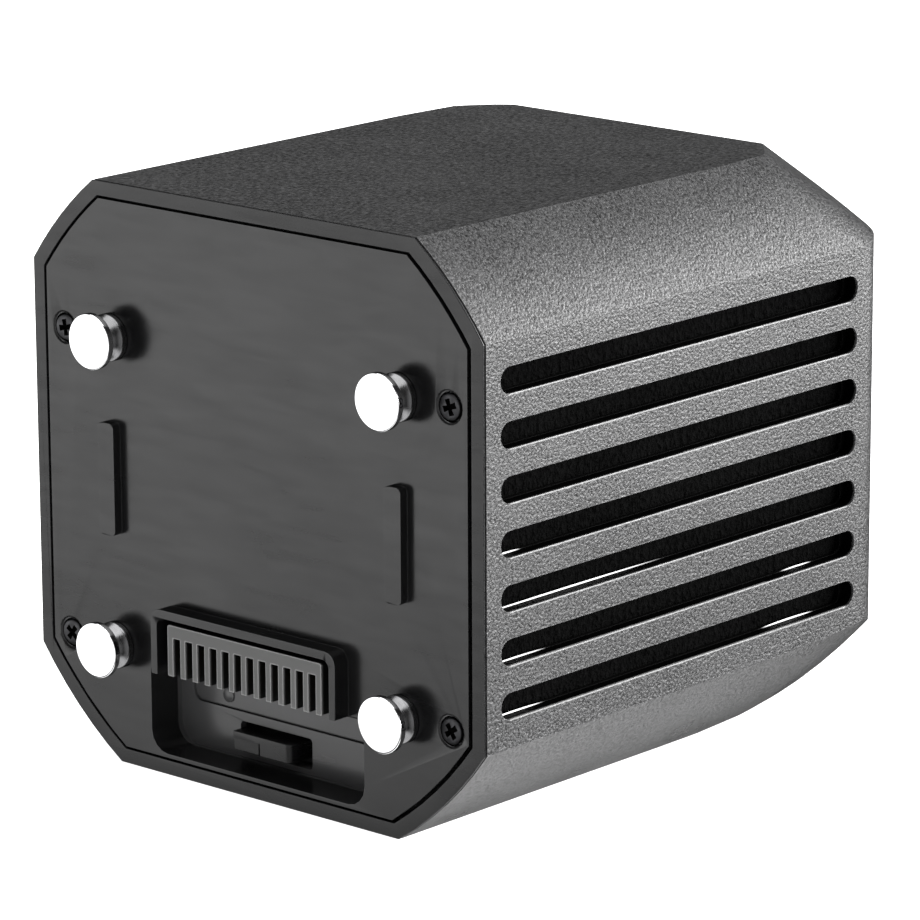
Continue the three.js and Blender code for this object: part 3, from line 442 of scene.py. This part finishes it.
def mesh_object(name, shape):
    """A linked object from a bmesh, with outward normals and smooth shading up to 40 degrees."""
    bmesh.ops.remove_doubles(shape, verts=shape.verts, dist=0.000001)
    bmesh.ops.recalc_face_normals(shape, faces=shape.faces)
    mesh = bpy.data.meshes.new(name)
    shape.to_mesh(mesh)
    shape.free()
    mesh.shade_smooth()
    mesh.set_sharp_from_angle(angle=math.radians(40))
    obj = bpy.data.objects.new(name, mesh)
    bpy.context.scene.collection.objects.link(obj)
    return obj


def stands_for(obj, node, body="adapter"):
    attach(obj, body)
    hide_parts(node)
    return obj


def loop_about(shape, x, z, y, radii):
    """A closed loop of corners about an axis along Y, one for each radius."""
    corners = []
    for step, radius in enumerate(radii):
        angle = 2 * math.pi * step / len(radii)
        place = at(x + radius * math.cos(angle), y, z + radius * math.sin(angle))
        corners.append(shape.verts.new(place))
    return corners


def join_rings(shape, first, second, material=0):
    count = len(first)
    for step in range(count):
        following = (step + 1) % count
        corners = (first[step], first[following], second[following], second[step])
        shape.faces.new(corners).material_index = material


def arc(centre, radius, start, stop, steps):
    """Points [radius from the axis, y] along an arc, with its angles in degrees."""
    points = []
    for step in range(steps + 1):
        angle = math.radians(start + (stop - start) * step / steps)
        across = centre[0] + radius * math.cos(angle)
        points.append((across, centre[1] + radius * math.sin(angle)))
    return points


def turned(shape, profile, x, z, segments=80, material=0):
    """Rings through the profile [radius, y] about an axis along Y, open at both ends."""
    rings = [loop_about(shape, x, z, y, [radius] * segments) for radius, y in profile]
    for first, second in zip(rings, rings[1:]):
        join_rings(shape, first, second, material)
    return rings


# Corner of the plate: side, height of its fastenings and how far its screw is turned.
STUD_X, STUD_TOP, STUD_BOTTOM = 35.65, 26.2, -32.35
SCREW_X = 47.6
PLACES = {
    "top_left": (-1, STUD_TOP, 0.2),
    "top_right": (1, STUD_TOP, 0.35),
    "bottom_left": (-1, STUD_BOTTOM, 0.9),
    "bottom_right": (1, STUD_BOTTOM, 0.6),
}


def mushroom_stud(place):
    """Polished head on a turned neck, with a flared collar and a foot through the plate."""
    side, z, _ = PLACES[place]
    x = side * STUD_X
    shape = bmesh.new()
    rim = arc((5.08, -5.36), 0.14, -90, 0, 4)
    head = [(0.4, -5.5), (2.6, -5.5), (4.9, -5.5), *rim, (5.22, -4.35)]
    neck = [(5.22, -4.35), (5.0, -4.25), (3.3, -3.95), (3.0, -3.7), (3.0, -3.1)]
    flare = arc((3.9, -0.9), 0.55, -60, 0, 5)
    collar = [(3.0, -3.1), (3.35, -2.75), (3.8, -2.0), *flare, (4.45, -0.15)]
    foot = [(4.45, -0.15), (2.4, -0.15), (2.4, 8.6), (0.4, 8.6)]
    shape.faces.new(turned(shape, head, x, z)[0])
    turned(shape, neck, x, z, material=1)
    turned(shape, collar, x, z, material=1)
    shape.faces.new(turned(shape, foot, x, z, material=1)[-1])
    stud = mesh_object("stud_" + place, shape)
    paint(stud, "stud_chrome", MATERIALS["stud_chrome"], TURNED_STEEL)
    return stands_for(stud, "mount_stud_" + place)


def recess_radius(angle, root, tip, reach):
    """Distance from the middle to the edge of a four-armed recess that flares to its tips."""
    local = abs((angle + math.pi / 4) % (math.pi / 2) - math.pi / 4)
    flare = (tip - root) / (reach - root)
    end = reach / math.cos(local)
    slope = math.sin(local) - flare * math.cos(local)
    if slope <= 0:
        return end
    return min(end, root * (1 - flare) / slope)


SCREW_PROFILE = ((2.1, 0.08), (2.32, 0.14), (2.42, 0.32), (2.42, 1.2), (1.2, 1.2), (1.2, 10.5))
# The cross recess at the screw's face and at its floor: depth, arm half width at the middle
# and at the tip, and reach.
RECESS_LEVELS = ((0.08, 0.46, 0.6, 1.55), (0.95, 0.36, 0.42, 1.1))


def cross_screw(place):
    side, z, turn = PLACES[place]
    x = side * SCREW_X
    segments = 96
    shape = bmesh.new()
    rings = turned(shape, SCREW_PROFILE, x, z, segments)
    shape.faces.new(rings[-1])
    angles = [2 * math.pi * step / segments for step in range(segments)]
    mouth, bottom = (
        loop_about(shape, x, z, y, [recess_radius(a - turn, root, tip, reach) for a in angles])
        for y, root, tip, reach in RECESS_LEVELS
    )
    join_rings(shape, rings[0], mouth)
    join_rings(shape, mouth, bottom, 1)
    shape.faces.new(bottom).material_index = 1
    screw = mesh_object("screw_" + place, shape)
    paint(screw, "black_steel", SCREW_BLACK, SCREW_WELL_PAINTED_SHADE)
    return stands_for(screw, "plate_screw_" + place)


for place in PLACES:
    mushroom_stud(place)
    cross_screw(place)

# Where a liner's edge shows above a slot's lower wall: slot, start, stop and height.
LIP_SPANS = (
    (3, 5.6, 14, 0.26),
    (4, 5.6, 60, 0.28),
    (5, 5.6, 22, 0.26),
    (5, 84, 97, 0.24),
    (6, 5.6, 21, 0.28),
    (6, 78, 98, 0.3),
)
LIP_BACK, LIP_SHOULDER, LIP_FRONT = 52.76, 52.92, 53.02
LIP_STATIONS = 16
SLOT_ENTRY = 10
LIP_FADE = 0.04
FULL_AT_START = 0.25


def liner_lip(shape, index, start, stop, height, side):
    """A low, tapering lip where the liner's edge stands up behind a slot's lower wall."""
    foot = VENT_TOP - index * VENT_PITCH - VENT_HEIGHT + 0.02
    first = FULL_AT_START if start < SLOT_ENTRY else 0.0
    previous = None
    for step in range(LIP_STATIONS + 1):
        part = step / LIP_STATIONS
        swell = math.sin(math.pi * (first + (1 - first) * part))
        crest = foot + height * max(LIP_FADE, swell)
        y = start + (stop - start) * part
        corners = ((LIP_FRONT, foot), (LIP_SHOULDER, crest), (LIP_BACK, crest), (LIP_BACK, foot))
        section = [shape.verts.new(at(side * x, y, z)) for x, z in corners]
        if previous:
            join_rings(shape, previous, section, 1)
        else:
            shape.faces.new(section)
        previous = section
    shape.faces.new(previous)


def lipped_liner(word, side):
    shape = bmesh.new()
    shape.from_mesh(frame["nodes"]["vent_liner_" + word].data)
    for span in LIP_SPANS:
        liner_lip(shape, *span, side)
    liner = mesh_object("liner_" + word, shape)
    paint(liner, "dark_plastic", LINER_PAINTED_SHADE, LIP_PLASTIC)
    return stands_for(liner, "vent_liner_" + word)


lipped_liner("left", -1)
lipped_liner("right", 1)


def closing_spring():
    """The spring behind the latch tab, copied into a mesh of its own."""
    shape = bmesh.new()
    shape.from_mesh(frame["nodes"]["latch_spring"].data)
    spring = mesh_object("coil_spring", shape)
    paint(spring, "zinc")
    stands_for(spring, "latch_spring")
    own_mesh(spring)


closing_spring()

# ---------------------------------------------------------------- floor

FLOOR_SIZE, FLOOR_HEIGHT = 12, -0.0002


def studio_floor():
    """A plain floor that glows white and isn't mirrored by the object."""
    half = FLOOR_SIZE / 2
    corners = [(-half, -half, 0), (half, -half, 0), (half, half, 0), (-half, half, 0)]
    mesh = bpy.data.meshes.new("studio_floor")
    mesh.from_pydata(corners, [], [(0, 1, 2, 3)])
    floor = bpy.data.objects.new("studio_floor", mesh)
    floor.location = (0, 0, FLOOR_HEIGHT)
    bpy.context.scene.collection.objects.link(floor)
    material, tree, shader = new_material("studio_floor")
    patches = remap(tree, noise(tree, coords(tree), 3.0), 0.3, 0.7, 0.0, 1.0)
    surface = mix_colour(tree, patches, grey(0.86), grey(0.88))
    tree.links.new(surface, shader.inputs["Base Color"])
    shader.inputs["Roughness"].default_value = 0.7
    shader.inputs["Emission Color"].default_value = (1, 1, 1, 1)
    shader.inputs["Emission Strength"].default_value = 1.0
    mesh.materials.append(material)
    floor.visible_glossy = False
    return floor


studio_floor()

# ---------------------------------------------------------------- light

# Light from around: the way to each patch's middle, the cosines where it starts and where it
# is full, and its level.
CARD = ((-0.68, -0.68, -0.25), 0.80, 0.95, 2.2)
TABLE = ((0.0, 0.1, -1.0), 0.62, 0.86, 2.2)
FRONT = ((0.45, -0.88, -0.15), 0.62, 0.92, 0.6)
SOFTBOX_AHEAD, SOFTBOX_ACROSS = (0.6, 0.8, 0.0), (0.8, -0.6, 0.0)
SOFTBOX_LEVEL = 17.5
AMBIENT_LEVEL = 0.05


def patch_of_light(sky, direction, towards, start, full, level):
    facing = along(sky, direction, Vector(towards).normalized())
    return soft_step(sky, facing, start, full, level)


def studio_world():
    """A low card at front left, a table below, a tall softbox behind and a dim front."""
    world = bpy.data.worlds.new("studio")
    world.use_nodes = True
    sky = world.node_tree
    direction = sky.nodes.new("ShaderNodeTexCoord").outputs["Generated"]
    height = along(sky, direction, (0, 0, 1))
    card = patch_of_light(sky, direction, *CARD)
    for low, high in ((-0.36, -0.26), (0.02, -0.14)):
        card = maths(sky, "MULTIPLY", card, soft_step(sky, height, low, high))
    across = along(sky, direction, SOFTBOX_ACROSS)
    ahead = along(sky, direction, SOFTBOX_AHEAD)
    softbox = soft_step(sky, ahead, 0.1, 0.3, SOFTBOX_LEVEL)
    for value, low, high in (
        (across, -0.54, -0.34),
        (across, 0.75, 0.50),
        (height, -0.24, 0.05),
        (height, 0.64, 0.22),
    ):
        softbox = maths(sky, "MULTIPLY", softbox, soft_step(sky, value, low, high))
    light = maths(sky, "MAXIMUM", card, softbox)
    for patch in (TABLE, FRONT):
        light = maths(sky, "MAXIMUM", light, patch_of_light(sky, direction, *patch))
    light = maths(sky, "ADD", light, soft_step(sky, height, -0.05, 0.05, AMBIENT_LEVEL))
    background = sky.nodes["Background"]
    background.inputs["Color"].default_value = (1, 1, 1, 1)
    sky.links.new(light, background.inputs["Strength"])
    return world


OVERHEAD_PLACE = (-0.3, -0.5, 1.8)
OVERHEAD_SIZE, OVERHEAD_POWER = 2.4, 60


def overhead_light():
    data = bpy.data.lights.new("overhead", "AREA")
    data.energy = OVERHEAD_POWER
    data.size = OVERHEAD_SIZE
    light = bpy.data.objects.new("overhead", data)
    light.location = OVERHEAD_PLACE
    light.rotation_euler = Vector((0, 0, -1)).to_track_quat("-Z", "Y").to_euler()
    light.visible_camera = False
    bpy.context.scene.collection.objects.link(light)


bpy.context.scene.world = studio_world()
bpy.context.scene.view_settings.view_transform = "Standard"
overhead_light()

# ---------------------------------------------------------------- camera

CAMERA_PLACE = at(635.13, -653.04, 241.07)
CAMERA_AZIMUTH, CAMERA_DROP, CAMERA_ROLL = 41.856, 14.320, -0.26
CAMERA_LENS, CAMERA_SENSOR = 204.95, 36

camera_data = bpy.data.cameras.new("camera")
camera_data.lens = CAMERA_LENS
camera_data.sensor_width = CAMERA_SENSOR
camera = bpy.data.objects.new("camera", camera_data)
bpy.context.scene.collection.objects.link(camera)
camera.location = CAMERA_PLACE
camera.rotation_mode = "XYZ"
azimuth = Matrix.Rotation(math.radians(CAMERA_AZIMUTH), 4, "Z")
tilt = Matrix.Rotation(math.radians(90 - CAMERA_DROP), 4, "X")
roll = Matrix.Rotation(math.radians(CAMERA_ROLL), 4, "Z")
camera.rotation_euler = (azimuth @ tilt @ roll).to_euler()
bpy.context.scene.camera = camera
